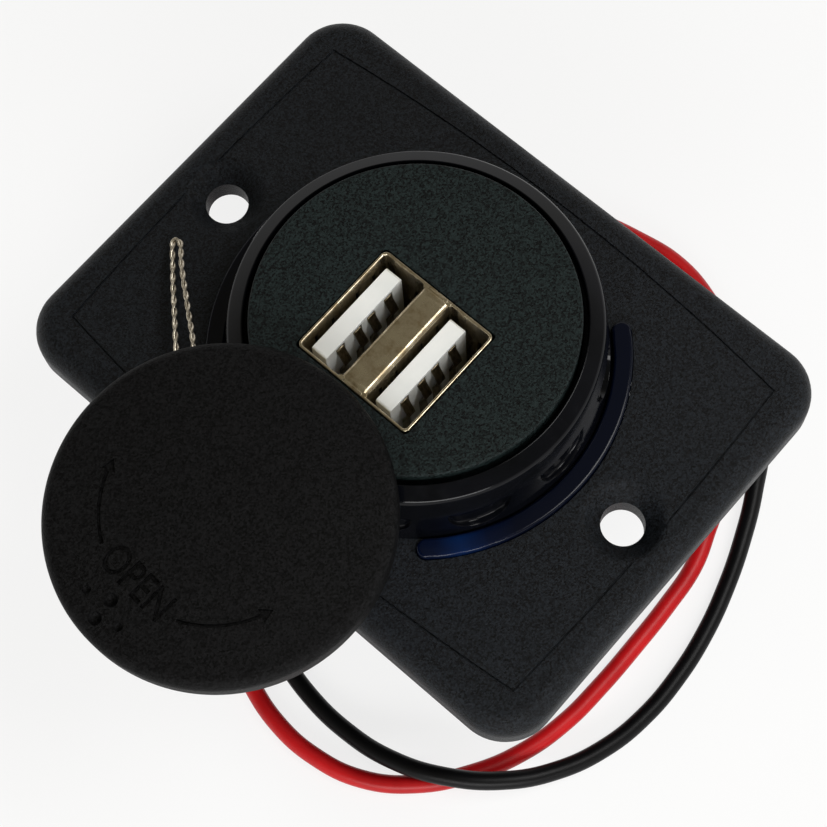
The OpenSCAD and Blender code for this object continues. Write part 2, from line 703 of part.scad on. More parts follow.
module usb_shell() {
    color("#b9b5ac") {
        difference() {
            translate([usb_x, usb_y, usb_rear]) linear_extrude(usb_depth)
                rounded_rectangle(usb_l, usb_w, shell_corner_r);
            for (port = [-1, 1]) port_opening(port);
            translate([usb_x - divider_w / 2 + sheet, usb_y - port_w / 2, usb_rear - over])
                cube([divider_w - 2 * sheet, port_w, usb_depth + over - sheet]);
            on_wide_walls() spring_window(spring_l);
            on_end_walls() spring_window(end_spring_l);
        }
        on_wide_walls() shell_spring(spring_l);
        on_end_walls() shell_spring(end_spring_l);
        for (y = tab_places, z = tab_levels)
            translate([usb_x + usb_l / 2 - sheet / 2, usb_y + y - sheet / 2, z - tab_w / 2])
                cube([leg_out - usb_x - usb_l / 2 + sheet / 2, sheet, tab_w]);
    }
}

module usb_insulator() {
    color("#e9e8e4") difference() {
        union() {
            translate([usb_x - usb_l / 2 + sheet, usb_y - port_w / 2, insulator_rear])
                cube([usb_l - 2 * sheet, port_w, back_t - rest_gap / 2]);
            for (port = [-1, 1]) translate([usb_x + port * port_pitch / 2, usb_y, 0]) {
                translate([0, 0, insulator_rear]) linear_extrude(back_t + base_t)
                    rounded_rectangle(port_h - 2 * rest_gap, port_w - 2 * rest_gap, port_corner_r);
                translate([tongue_face - tongue_t, -tongue_w / 2, insulator_rear])
                    cube([tongue_t, tongue_w, tongue_top - insulator_rear]);
            }
        }
        for (port = [-1, 1], y = contact_places)
            translate([usb_x + port * port_pitch / 2 + tongue_face - contact_groove,
                usb_y + y - contact_w / 2 - rest_gap, insulator_rear - over])
                cube([2 * contact_groove, contact_w + 2 * rest_gap,
                    tongue_top - insulator_rear + over - 0.6]);
    }
}

// Side view of a spring contact: x from the tongue's face, y along the port
function contact_outline(level) = let (
    flat = -0.05,
    bend = tongue_top - contact_bend,
    front = [
        [flat, level], [flat, bend - contact_slope],
        [contact_rise * 0.8, bend - contact_bend_half], [contact_rise, bend],
        [contact_rise * 0.8, bend + contact_bend_half], [flat, tongue_top - contact_tip]],
    n = len(front))
    concat(front, [for (i = [n - 1:-1:0]) front[i] - [contact_t, 0]]);

// The four contacts of one port, with legs that pass through the circuit board
module contacts(port, level) {
    tongue_x = usb_x + port * port_pitch / 2 + tongue_face;
    for (y = contact_places) translate([tongue_x, usb_y + y, 0]) {
        translate([0, contact_w / 2, 0]) rotate([90, 0, 0])
            linear_extrude(contact_w) polygon(contact_outline(level));
        translate([-0.05 - contact_t, -leg_w / 2, level])
            cube([leg_out - tongue_x + 0.05 + contact_t, leg_w, contact_t]);
    }
}

module upper_contacts() {
    color("#b39a63") contacts(-1, leg_levels[0]);
}

module lower_contacts() {
    color("#b39a63") contacts(1, leg_levels[1]);
}

module circuit_board() {
    color("#1f5b3a") difference() {
        translate([board_x, -board_w / 2, board_rear])
            cube([board_t, board_w, board_top - board_rear]);
        for (y = contact_places, z = leg_levels)
            translate([board_x - over, usb_y + y, z + contact_t / 2]) rotate([0, 90, 0])
                cylinder(h = board_t + 2 * over, r = leg_w / 2 + 0.2, $fn = small_fn);
        for (y = tab_places, z = tab_levels)
            translate([board_x - over, usb_y + y - 0.45, z - tab_w / 2 - 0.3])
                cube([board_t + 2 * over, 0.9, tab_w + 0.6]);
    }
}

module controller_chip() {
    color("#222326") {
        translate([board_far_x, -chip_size.y / 2, chip_z]) cube(chip_size);
        for (way = [-1, 1], i = [0:3])
            translate([board_far_x, way * (chip_size.y / 2 + 0.45) - 0.5, chip_z + 0.5 + i * 1.2])
                cube([chip_size.x / 2, 1, 0.45]);
    }
}

module storage_coil() {
    color("#3a3b3e") translate([board_x, coil_y, coil_z]) rotate([0, -90, 0])
        rotate_extrude($fn = small_fn * 2) polygon([
            [0, 0], [coil_r, 0], [coil_r, 1], [coil_r - 0.6, 1], [coil_r - 0.6, coil_h - 1],
            [coil_r, coil_h - 1], [coil_r, coil_h], [0, coil_h]]);
}

// Electrolytic capacitor that stands on the board, with a groove round its sleeve
module capacitor(z) {
    groove_z = sleeve_foot_h + sleeve_groove_h;
    translate([board_x, capacitor_y, z]) rotate([0, -90, 0])
        rotate_extrude($fn = small_fn) polygon(rounded([
            [0, 0, 0], [capacitor_r, 0, 0], [capacitor_r, sleeve_foot_h, 0],
            [capacitor_r - sleeve_groove_t, groove_z, 0],
            [capacitor_r, groove_z + sleeve_groove_h, 0],
            [capacitor_r, capacitor_h, sleeve_groove_h], [0, capacitor_h, 0]]));
}

module input_capacitor() {
    color("#2b3f66") capacitor(input_z);
}

module output_capacitor() {
    color("#2b3f66") capacitor(output_z);
}

module diode() {
    color("#2a2b2d") translate([board_far_x, diode_y, board_rear + diode_rise]) cube(diode_size);
}

module ring_leds() {
    middle_z = web_z - light_ring_t / 2;
    color("#d8e4f2") for (y = [-led_y, led_y])
        translate([board_far_x, y - led_size.y / 2, middle_z - led_size.z / 2]) cube(led_size);
}

// Moves the cap from its own frame to where it lies
module place_cap() {
    translate([cap_x, cap_y, cap_rim_z]) rotate([cap_lean, 0, 0]) children();
}

// Points of the dome over the cap, from the axis out to the radius r
function dome(r, z, rise, n = 12) = let (
    radius = (r * r + rise * rise) / (2 * rise),
    span = asin(r / radius))
    [for (i = [0:n]) [radius * sin(span * i / n), z + rise - radius * (1 - cos(span * i / n))]];

module cap() {
    crown_r = cap_r - cap_edge_r;
    crown_rise = cap_rise - cap_edge_r;
    shoulder = [for (i = [0:6]) [crown_r + cap_edge_r * sin(15 * i),
        cap_skirt_h + cap_edge_r * cos(15 * i)]];
    inside_h = cap_skirt_h + 0.2;
    inside = dome(cap_skirt_in_r - 1, inside_h, cap_rise - cap_t - 0.2);
    color("#17181a") place_cap() {
        rotate_extrude($fn = round_fn * 2) polygon(concat(
            dome(crown_r, cap_skirt_h + cap_edge_r, crown_rise), shoulder,
            [[cap_r, 0], [cap_skirt_in_r, 0], [cap_skirt_in_r, cap_skirt_h]],
            [for (i = [len(inside) - 1:-1:0]) inside[i]]));
        translate([cap_boss.x, cap_boss.y, 0]) difference() {
            cylinder(h = inside_h + 0.6, r = cap_boss_r, $fn = small_fn);
            translate([0, 0, -over])
                cylinder(h = cap_boss_hole + over, d = tether_d + 0.2, $fn = small_fn);
        }
    }
}

module tether_wire() {
    color("#7b7468") tube(tether_route, tether_d, [1, 0, 0]);
}

module tether_crimp() {
    color("#9a958a") translate([tether_hole.x, tether_hole.y, web_z - rest_gap - crimp_h])
        cylinder(h = crimp_h, r = crimp_r, $fn = small_fn);
}

module lead_red() {
    color("#c8141c") tube(red_route, lead_d);
}

module lead_black() {
    color("#1a1a1d") tube(black_route, lead_d);
}

module tinned_end_red() {
    color("#c9c7c2") strands(red_route);
}

module tinned_end_black() {
    color("#c9c7c2") strands(black_route);
}

mounting_plate();
barrel();
retaining_nut();
rear_cover();
lead_grommet();
bezel();
face_disc();
light_ring();
usb_shell();
usb_insulator();
upper_contacts();
lower_contacts();
circuit_board();
controller_chip();
storage_coil();
input_capacitor();
output_capacitor();
diode();
ring_leds();
cap();
tether_wire();
tether_crimp();
lead_red();
lead_black();
tinned_end_red();
tinned_end_black();
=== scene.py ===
import bpy
import json
import math
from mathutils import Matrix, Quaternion, Vector

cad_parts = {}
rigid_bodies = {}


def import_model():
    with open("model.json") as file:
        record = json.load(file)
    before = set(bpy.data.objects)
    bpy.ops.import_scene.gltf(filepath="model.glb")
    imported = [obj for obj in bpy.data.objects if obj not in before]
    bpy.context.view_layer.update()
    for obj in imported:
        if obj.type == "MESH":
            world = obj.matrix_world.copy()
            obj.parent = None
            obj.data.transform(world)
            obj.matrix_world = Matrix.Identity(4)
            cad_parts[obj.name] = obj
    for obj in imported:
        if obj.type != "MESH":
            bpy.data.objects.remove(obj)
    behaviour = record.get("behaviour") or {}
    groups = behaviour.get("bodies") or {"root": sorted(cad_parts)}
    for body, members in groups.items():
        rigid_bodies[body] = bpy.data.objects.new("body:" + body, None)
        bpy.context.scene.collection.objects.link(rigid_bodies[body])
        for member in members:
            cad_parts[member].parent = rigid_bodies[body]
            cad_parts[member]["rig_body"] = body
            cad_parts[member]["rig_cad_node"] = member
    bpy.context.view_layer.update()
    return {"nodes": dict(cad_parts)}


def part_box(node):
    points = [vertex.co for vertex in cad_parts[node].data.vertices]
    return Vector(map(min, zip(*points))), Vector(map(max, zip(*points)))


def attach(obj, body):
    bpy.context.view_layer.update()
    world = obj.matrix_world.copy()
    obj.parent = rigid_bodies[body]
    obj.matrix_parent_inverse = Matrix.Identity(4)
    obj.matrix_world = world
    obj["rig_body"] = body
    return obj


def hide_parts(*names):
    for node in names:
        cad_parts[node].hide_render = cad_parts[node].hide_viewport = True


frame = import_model()
mm = 0.001
near = 0.02                   # mm within which a place counts as met
weld = 0.000001               # m within which a piece's corners are made one
print("frame loaded:", len(frame["nodes"]), "nodes")

# camera, at the place from which the photo was taken

cameraView = {
    "azimuth": 47.182,        # degrees round the socket, from the -Y side
    "elevation": 70.863,      # degrees above the plate
    "roll": -6.231,           # degrees the camera was tipped sideways
    "distance": 210.43,       # mm from the target
    "target": (3.899, -5.209, 4.4),
    "lens": 91.16,            # mm on a 36 mm sensor
}


def makeCamera(view):
    azimuth = math.radians(view["azimuth"])
    elevation = math.radians(view["elevation"])
    back = Vector((math.sin(azimuth) * math.cos(elevation),
                   -math.cos(azimuth) * math.cos(elevation), math.sin(elevation)))
    bpy.ops.object.camera_add(location=(Vector(view["target"]) + back * view["distance"]) * mm)
    camera = bpy.context.object
    camera.name = "photoCamera"
    camera.rotation_mode = "QUATERNION"
    roll = Quaternion((0, 0, 1), math.radians(view["roll"]))
    camera.rotation_quaternion = (-back).to_track_quat("-Z", "Y") @ roll
    camera.data.sensor_width = 36
    camera.data.lens = view["lens"]
    camera.data.clip_start = 0.01
    camera.data.clip_end = 10
    bpy.context.scene.camera = camera


makeCamera(cameraView)
print("camera placed")

# materials


def linearColour(hexValue):
    parts = [int(hexValue[i:i + 2], 16) / 255 for i in (1, 3, 5)]
    return [p / 12.92 if p <= 0.04045 else ((p + 0.055) / 1.055) ** 2.4 for p in parts] + [1]


def newMaterial(name):
    material = bpy.data.materials.new(name)
    material.use_nodes = True
    material.node_tree.nodes.clear()
    return material, material.node_tree


def addNode(tree, kind, settings=(), inputs=(), links=()):
    # inputs are (socket, value) and links are (socket, output that feeds it)
    node = tree.nodes.new(kind)
    for key, value in dict(settings).items():
        setattr(node, key, value)
    for socket, value in inputs:
        node.inputs[socket].default_value = value
    for socket, source in links:
        tree.links.new(source, node.inputs[socket])
    return node


def setRamp(node, stops):
    # stops are (position, hex colour) from low to high
    ramp = node.color_ramp
    while len(ramp.elements) < len(stops):
        ramp.elements.new(0.5)
    for element, (position, colour) in zip(ramp.elements, stops):
        element.position = position
        element.color = linearColour(colour)


def surfacePlaces(tree):
    return addNode(tree, "ShaderNodeTexCoord").outputs["Object"]


def addNoise(tree, where, size, detail, roughness=0.5):
    # size is the width of one patch in mm
    noise = addNode(tree, "ShaderNodeTexNoise",
                    inputs=[("Scale", 1 / (size * mm)), ("Detail", detail),
                            ("Roughness", roughness)],
                    links=[("Vector", where)])
    return noise.outputs["Fac"]


def addTint(tree, shade, stops):
    tint = addNode(tree, "ShaderNodeValToRGB", links=[("Fac", shade)])
    setRamp(tint, stops)
    return tint.outputs["Color"]


def addRange(tree, value, spans):
    # spans are the value's low and high and then what they become
    scaled = addNode(tree, "ShaderNodeMapRange",
                     inputs=list(zip(("From Min", "From Max", "To Min", "To Max"), spans)),
                     links=[("Value", value)])
    return scaled.outputs["Result"]


def addBump(tree, height, distance, strength):
    bump = addNode(tree, "ShaderNodeBump",
                   inputs=[("Strength", strength), ("Distance", distance * mm)],
                   links=[("Height", height)])
    return bump.outputs["Normal"]


def finishMaterial(tree, shader):
    addNode(tree, "ShaderNodeOutputMaterial", links=[("Surface", shader.outputs[0])])


def mouldedPlastic(name, look):
    # glass-filled nylon from a spark-eroded mould: pale specks in a satin grain that breaks
    # up highlights
    material, tree = newMaterial(name)
    where = surfacePlaces(tree)
    grain = addNoise(tree, where, look["grain"], 3, 0.75)
    cloud = addNoise(tree, where, look["cloud"], 3)
    specks = addNode(tree, "ShaderNodeTexVoronoi",
                     inputs=[("Scale", 1 / (look["speck"] * mm))], links=[("Vector", where)])
    tint = addTint(tree, specks.outputs["Color"], [(0.2, look["dark"]), (0.8, look["light"])])
    rough = addRange(tree, cloud, (0.3, 0.7, look["roughness"] - 0.06, look["roughness"] + 0.06))
    relief = addBump(tree, grain, look["relief"], 1)
    shader = addNode(tree, "ShaderNodeBsdfPrincipled",
                     inputs=[("IOR", 1.5), ("Specular IOR Level", look["specular"])],
                     links=[("Base Color", tint), ("Roughness", rough), ("Normal", relief)])
    finishMaterial(tree, shader)
    return material


# sizes in mm; the real grain is near 0.1 mm and is drawn at about 0.2 mm, so that it shows
plateLook = {"dark": "#010102", "light": "#1b1f24", "speck": 0.17, "grain": 0.2, "cloud": 9,
             "relief": 0.1, "roughness": 0.42, "specular": 0.14}
faceLook = {"dark": "#010303", "light": "#1e2828", "speck": 0.17, "grain": 0.19, "cloud": 6,
            "relief": 0.1, "roughness": 0.5, "specular": 0.12}
capLook = {"dark": "#000000", "light": "#131314", "speck": 0.18, "grain": 0.21, "cloud": 12,
           "relief": 0.1, "roughness": 0.5, "specular": 0.08}
housingLook = {"dark": "#0b0b0d", "light": "#1c1c1f", "speck": 0.3, "grain": 0.3, "cloud": 8,
               "relief": 0.05, "roughness": 0.5, "specular": 0.3}


def smokedPlastic(name, look):
    # polished polycarbonate with a smoke dye: nearly black, with clean mirror-like highlights
    material, tree = newMaterial(name)
    where = surfacePlaces(tree)
    flow = addNoise(tree, where, look["flow"], 2)
    scuff = addNoise(tree, where, look["scuff"], 4, 0.7)
    tint = addTint(tree, flow, [(0.3, look["dark"]), (0.7, look["light"])])
    rough = addRange(tree, scuff, (0.45, 0.75, *look["roughness"]))
    shader = addNode(tree, "ShaderNodeBsdfPrincipled",
                     inputs=[("IOR", look["ior"]), ("Specular IOR Level", look["specular"])],
                     links=[("Base Color", tint), ("Roughness", rough)])
    finishMaterial(tree, shader)
    return material


smokeLook = {"dark": "#040507", "light": "#0a0b10", "flow": 6, "scuff": 1.2,
             "roughness": (0.1, 0.2), "ior": 1.58, "specular": 0.13}


def lightGuide(name, look):
    # tinted acrylic, unlit: deep navy, with painted light that turns it bluer towards the end that
    # faces the lamp
    material, tree = newMaterial(name)
    where = surfacePlaces(tree)
    # painted glow, not dye: the colour is bluest at one angle round the socket and fades to navy
    # away from it, with a random swirl mixed in
    parts = addNode(tree, "ShaderNodeSeparateXYZ", links=[("Vector", where)])
    angle = addNode(tree, "ShaderNodeMath", {"operation": "ARCTAN2"},
                    links=[(0, parts.outputs["Y"]), (1, parts.outputs["X"])])
    gap = addNode(tree, "ShaderNodeMath", {"operation": "SUBTRACT"},
                  [(1, math.radians(look["paintedGlowAt"]))], [(0, angle.outputs["Value"])])
    reach = addNode(tree, "ShaderNodeMath", {"operation": "ABSOLUTE"},
                    links=[(0, gap.outputs["Value"])])
    span = math.radians(look["paintedGlowFadesAt"] - look["paintedGlowAt"])
    paintedGlowFade = addRange(tree, reach.outputs["Value"], (0, span, 0, 1))
    swirl = addNoise(tree, where, look["swirl"], 2)
    mixed = addNode(tree, "ShaderNodeMath", {"operation": "MULTIPLY_ADD"},
                    [(1, look["swirlShare"])], [(0, swirl), (2, paintedGlowFade)])
    tint = addTint(tree, mixed.outputs["Value"],
                   [(0.12, look["blue"]), (0.55, look["middle"]), (1, look["navy"])])
    shader = addNode(tree, "ShaderNodeBsdfPrincipled",
                     inputs=[("Roughness", look["roughness"]), ("IOR", look["ior"]),
                             ("Specular IOR Level", look["specular"])],
                     links=[("Base Color", tint)])
    finishMaterial(tree, shader)
    return material


# the painted glow's ends are angles round the socket in degrees
guideLook = {"blue": "#051d44", "middle": "#040d24", "navy": "#030716", "swirl": 3,
             "swirlShare": 0.3, "paintedGlowAt": -37, "paintedGlowFadesAt": -17, "roughness": 0.16, "ior": 1.49,
             "specular": 0.22}


def sheetMetal(name, look):
    # rolled and plated sheet: drawn streaks with specks of tarnish, which dull the shine
    material, tree = newMaterial(name)
    stretch = addNode(tree, "ShaderNodeMapping", inputs=[("Scale", look["streak"])],
                      links=[("Vector", surfacePlaces(tree))])
    streak = addNoise(tree, stretch.outputs["Vector"], metalGrain, 4, 0.6)
    tint = addTint(tree, streak, [(0.34, look["dark"]), (0.66, look["light"])])
    rough = addRange(tree, streak, (0.3, 0.7, look["roughness"] + 0.12, look["roughness"] - 0.04))
    dents = addBump(tree, streak, look["dents"], 0.5)
    shader = addNode(tree, "ShaderNodeBsdfPrincipled", inputs=[("Metallic", 1)],
                     links=[("Base Color", tint), ("Roughness", rough), ("Normal", dents)])
    finishMaterial(tree, shader)
    return material


metalGrain = 0.35             # mm across one patch, before the streak stretches it
nickelLook = {"dark": "#8f8064", "light": "#cdc2aa", "streak": (0.3, 0.3, 0.1), "roughness": 0.26,
              "dents": 0.004}
bronzeLook = {"dark": "#6b5f4c", "light": "#a89a80", "streak": (1, 1, 0.2), "roughness": 0.32,
              "dents": 0.01}
tinLook = {"dark": "#a39f97", "light": "#dad8d2", "streak": (1, 1, 1), "roughness": 0.28,
           "dents": 0.02}
steelLook = {"dark": "#8f8676", "light": "#e6ddcc", "streak": (1, 1, 1), "roughness": 0.3,
             "dents": 0.01}


def smoothResin(name, look):
    # extruded or moulded resin with a skin: soft sheen and a slow change of shade
    material, tree = newMaterial(name)
    where = surfacePlaces(tree)
    cloud = addNoise(tree, where, look["cloud"], 3)
    ripple = addNoise(tree, where, ripplePitch, 2)
    tint = addTint(tree, cloud, [(0.3, look["dark"]), (0.7, look["light"])])
    relief = addBump(tree, ripple, look["ripple"], 0.5)
    shader = addNode(tree, "ShaderNodeBsdfPrincipled",
                     inputs=[("Roughness", look["roughness"]), ("IOR", look["ior"]),
                             ("Specular IOR Level", look.get("specular", 0.5))],
                     links=[("Base Color", tint), ("Normal", relief)])
    finishMaterial(tree, shader)
    return material


ripplePitch = 0.6             # mm from one ripple of the skin to the next
whiteLook = {"dark": "#eef1f0", "light": "#f6f8f7", "cloud": 2.5, "roughness": 0.4, "ior": 1.55,
             "ripple": 0.01}
boardLook = {"dark": "#0c3b22", "light": "#14512f", "cloud": 1.2, "roughness": 0.3, "ior": 1.5,
             "ripple": 0.01}
chipLook = {"dark": "#151517", "light": "#202022", "cloud": 0.8, "roughness": 0.55, "ior": 1.5,
            "ripple": 0.02}
sleeveLook = {"dark": "#16233f", "light": "#22345a", "cloud": 2, "roughness": 0.3, "ior": 1.53,
              "ripple": 0.01}
lampLook = {"dark": "#d3dbe4", "light": "#eef3f8", "cloud": 0.5, "roughness": 0.2, "ior": 1.5,
            "ripple": 0.005}
redLook = {"dark": "#a6080e", "light": "#c21217", "cloud": 5, "roughness": 0.4, "ior": 1.5,
           "specular": 0.3, "ripple": 0.02}
blackLook = {"dark": "#040405", "light": "#09090b", "cloud": 5, "roughness": 0.4, "ior": 1.5,
             "specular": 0.16, "ripple": 0.02}
rubberLook = {"dark": "#121214", "light": "#1b1b1d", "cloud": 2, "roughness": 0.7, "ior": 1.52,
              "ripple": 0.03}

materials = {
    "plateNylon": mouldedPlastic("plateNylon", plateLook),
    "faceNylon": mouldedPlastic("faceNylon", faceLook),
    "capNylon": mouldedPlastic("capNylon", capLook),
    "housingNylon": mouldedPlastic("housingNylon", housingLook),
    "smokedPolycarbonate": smokedPlastic("smokedPolycarbonate", smokeLook),
    "blueAcrylic": lightGuide("blueAcrylic", guideLook),
    "nickelPlate": sheetMetal("nickelPlate", nickelLook),
    "contactBronze": sheetMetal("contactBronze", bronzeLook),
    "tinnedCopper": sheetMetal("tinnedCopper", tinLook),
    "tetherSteel": sheetMetal("tetherSteel", steelLook),
    "whitePolyester": smoothResin("whitePolyester", whiteLook),
    "boardLacquer": smoothResin("boardLacquer", boardLook),
    "chipEpoxy": smoothResin("chipEpoxy", chipLook),
    "capacitorSleeve": smoothResin("capacitorSleeve", sleeveLook),
    "lampEpoxy": smoothResin("lampEpoxy", lampLook),
    "redVinyl": smoothResin("redVinyl", redLook),
    "blackVinyl": smoothResin("blackVinyl", blackLook),
    "grommetRubber": smoothResin("grommetRubber", rubberLook),
}
print("materials made:", len(materials))

# working by hand: one piece in hand at a time, its edges picked by their place in mm


def deselectAll():
    bpy.ops.object.select_all(action="DESELECT")


def makeActive(piece):
    deselectAll()
    piece.select_set(True)
    bpy.context.view_layer.objects.active = piece


def nameNew(name):
    piece = bpy.context.object
    piece.name = name
    return piece


def setDown(piece, spin=(0, 0, 0), place=(0, 0, 0)):
    # turns and moves a piece made at the origin, then makes that its mesh's own place
    makeActive(piece)
    piece.rotation_euler = [math.radians(a) for a in spin]
    piece.location = Vector(place) * mm
    bpy.ops.object.transform_apply(location=True, rotation=True, scale=True)


def pickEdges(piece, test):
    makeActive(piece)
    bpy.context.tool_settings.mesh_select_mode = (False, True, False)
    bpy.ops.object.mode_set(mode="EDIT")
    bpy.ops.mesh.select_all(action="DESELECT")
    bpy.ops.object.mode_set(mode="OBJECT")
    places = [v.co / mm for v in piece.data.vertices]
    for edge in piece.data.edges:
        edge.select = test(places[edge.vertices[0]], places[edge.vertices[1]])
    bpy.ops.object.mode_set(mode="EDIT")


def bevelEdges(piece, test, width, segments):
    pickEdges(piece, test)
    bpy.ops.mesh.bevel(offset=width * mm, segments=segments, affect="EDGES")
    bpy.ops.object.mode_set(mode="OBJECT")


def meets(value, level):
    return abs(value - level) < near


def onRing(radius, height):
    # an edge test: both ends lie on the circle of that radius and height
    def test(a, b):
        return all(meets(math.hypot(p.x, p.y), radius) and meets(p.z, height) for p in (a, b))
    return test


def turnRings(name, rings, sides, closed=False):
    # a circle extruded through rings of (radius, height); an open profile is capped at both ends
    deselectAll()
    bpy.ops.mesh.primitive_circle_add(vertices=sides, radius=rings[0][0] * mm,
                                      fill_type="NOTHING" if closed else "NGON")
    piece = nameNew(name)
    setDown(piece, place=(0, 0, rings[0][1]))
    bpy.ops.object.mode_set(mode="EDIT")
    bpy.ops.mesh.select_all(action="SELECT")
    path = rings + rings[:1] if closed else rings
    for (oldRadius, oldHeight), (radius, height) in zip(path, path[1:]):
        bpy.ops.mesh.extrude_edges_move(
            TRANSFORM_OT_translate={"value": (0, 0, (height - oldHeight) * mm)})
        grow = radius / oldRadius
        bpy.ops.transform.resize(value=(grow, grow, 1), center_override=(0, 0, 0))
    if not closed:
        bpy.ops.mesh.edge_face_add()
    bpy.ops.mesh.select_all(action="SELECT")
    bpy.ops.mesh.remove_doubles(threshold=weld)
    bpy.ops.mesh.normals_make_consistent(inside=False)
    bpy.ops.object.mode_set(mode="OBJECT")
    return piece


def joinAll(pieces):
    makeActive(pieces[0])
    for piece in pieces:
        piece.select_set(True)
    bpy.ops.object.join()
    return bpy.context.object


def turnedCopy(piece, degrees):
    copy = piece.copy()
    copy.data = piece.data.copy()
    bpy.context.scene.collection.objects.link(copy)
    setDown(copy, spin=(0, 0, degrees))
    return copy


def cutWith(piece, cutter):
    makeActive(piece)
    cut = piece.modifiers.new("cut", "BOOLEAN")
    cut.operation = "DIFFERENCE"
    cut.solver = "EXACT"
    cut.object = cutter
    bpy.ops.object.modifier_apply(modifier="cut")
    bpy.data.objects.remove(cutter)


def softenEdges(piece, width, angle=50):
    makeActive(piece)
    trim = piece.modifiers.new("softEdges", "BEVEL")
    trim.width = width * mm
    trim.segments = 2
    trim.limit_method = "ANGLE"
    trim.angle_limit = math.radians(angle)
    trim.use_clamp_overlap = False
    bpy.ops.object.modifier_apply(modifier="softEdges")


def finishPiece(piece, nodes, material, smoothAngle=32):
    makeActive(piece)
    bpy.ops.object.shade_smooth_by_angle(angle=math.radians(smoothAngle))
    even = piece.modifiers.new("evenShade", "WEIGHTED_NORMAL")
    even.keep_sharp = True
    bpy.ops.object.modifier_apply(modifier="evenShade")
    piece.data.materials.clear()
    piece.data.materials.append(materials[material])
    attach(piece, "root")
    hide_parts(*nodes)


def copySolid(node):
    # a merged copy of a solid, with its flat faces made whole again, named in camel case
    source = frame["nodes"][node]
    piece = source.copy()
    piece.data = source.data.copy()
    words = node.split("_")
    piece.name = words[0] + ("".join(w.capitalize() for w in words[1:]) or "Body")
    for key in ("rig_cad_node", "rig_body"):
        del piece[key]
    piece.parent = None
    bpy.context.scene.collection.objects.link(piece)
    makeActive(piece)
    bpy.ops.object.mode_set(mode="EDIT")
    bpy.ops.mesh.select_all(action="SELECT")
    bpy.ops.mesh.remove_doubles(threshold=2 * weld)
    bpy.ops.mesh.dissolve_limited(angle_limit=math.radians(0.5))
    bpy.ops.object.mode_set(mode="OBJECT")
    return piece


def smoothRoute(route, steps):
    # a smooth line through the route's points, with steps places from one to the next
    points = [Vector(p) for p in route]
    places = []
    for i in range(len(points) - 1):
        before, after = points[max(i - 1, 0)], points[min(i + 2, len(points) - 1)]
        a, b = points[i], points[i + 1]
        for k in range(steps):
            t = k / steps
            places.append(0.5 * (2 * a + (b - before) * t
                                 + (2 * before - 5 * a + 4 * b - after) * t * t
                                 + (3 * a - before - 3 * b + after) * t ** 3))
    places.append(points[-1])
    return places


def twistStrand(name, path, spec, start):
    # one round wire that winds about the path at a distance, beginning at the angle start
    places = []
    side = spec["side"].copy()
    run = 0
    for i, place in enumerate(path):
        ahead = (path[min(i + 1, len(path) - 1)] - path[max(i - 1, 0)]).normalized()
        side = (side - ahead * side.dot(ahead)).normalized()
        run += (place - path[i - 1]).length if i else 0
        turn = start + 2 * math.pi * run / spec["pitch"]
        places.append(place + spec["reach"] * (math.cos(turn) * side
                                               + math.sin(turn) * ahead.cross(side)))
    curve = bpy.data.curves.new(name, "CURVE")
    curve.dimensions = "3D"
    curve.bevel_depth = spec["strand"] / 2 * mm
    curve.bevel_resolution = 2
    curve.use_fill_caps = True
    spline = curve.splines.new("POLY")
    spline.points.add(len(places) - 1)
    for point, place in zip(spline.points, places):
        point.co = (*(place * mm), 1)
    strand = bpy.data.objects.new(name, curve)
    bpy.context.scene.collection.objects.link(strand)
    makeActive(strand)
    bpy.ops.object.convert(target="MESH")
    return bpy.context.object


# leads, along the routes that the solids take, in mm

redRoute = [
    (7.2, -5, -18.4), (2, -3.9, -18.4), (-3, -2.4, -18.2), (-8, -1.25, -18),
    (-12, -1.25, -18), (-16, -1.25, -18), (-20.6, -0.6, -19.4), (-24.4, 2.2, -21.3),
    (-26.4, 6.9, -22.5), (-26, 12.2, -22.6), (-23.8, 17.5, -22.6), (-20, 22.4, -22.6),
    (-14.8, 26.7, -22.6), (-9.2, 30.1, -22.6), (-3.2, 32.9, -22.6), (2.6, 34.4, -22.6),
    (8.4, 35, -22.6), (13.8, 33.8, -22.6), (18.8, 31.4, -22.6), (23.4, 28.2, -22.6),
    (27, 23.8, -22.6), (29, 18.4, -22.6), (30.6, 13.2, -22.6), (32.4, 8, -22.6),
    (33, 2.4, -22.6), (33.2, -3.4, -22.6), (33.2, -9.2, -22.6), (32.8, -14.8, -22.6),
    (31.4, -20.4, -22.6), (28.8, -25.6, -22.6), (25, -30.4, -22.6), (20.2, -33.8, -22.6),
    (14.8, -35.3, -22.6), (9.4, -35.3, -22.6), (4, -33.9, -22.6), (-1.6, -31.4, -22.6),
    (-7.2, -28.7, -22.6), (-12.8, -26, -22.6), (-18.2, -22.9, -22.6), (-23.2, -19.4, -22.6),
    (-27, -15, -22.6)]

blackRoute = [
    (7.2, -1.2, -18.4), (2, -0.6, -18.4), (-3, 0.6, -18.2), (-8, 1.25, -18),
    (-12, 1.25, -18), (-16, 1.25, -18), (-20, 2.6, -19.6), (-22.6, 6.2, -21.6),
    (-22.6, 11.4, -22.6), (-20, 16.6, -22.6), (-15.8, 21, -22.6), (-10.6, 24.5, -22.6),
    (-5, 27.1, -22.6), (1, 28.8, -22.6), (7, 29.5, -22.6), (13, 29.3, -22.4),
    (18.8, 28.2, -21.5), (24.2, 26.4, -20.6), (29, 23.6, -20.6), (32.2, 18.8, -21.8),
    (34.6, 13.8, -22.6), (36.6, 8.4, -22.6), (38.1, 2.8, -22.6), (38.9, -3, -22.6),
    (38.9, -8.6, -22.6), (37.9, -14, -22.5), (35.6, -19.4, -21.9), (32, -24.2, -20.8),
    (27, -28, -20.4), (21.6, -30.2, -21.2), (15.8, -31, -22.4), (9.8, -30.7, -22.6),
    (3.8, -29.2, -22.6), (-2, -27, -22.6), (-7.8, -24.4, -22.6), (-13.4, -21.4, -22.6),
    (-18.6, -17.8, -22.6), (-22.8, -13.6, -22.6), (-26, -9.2, -22.6)]

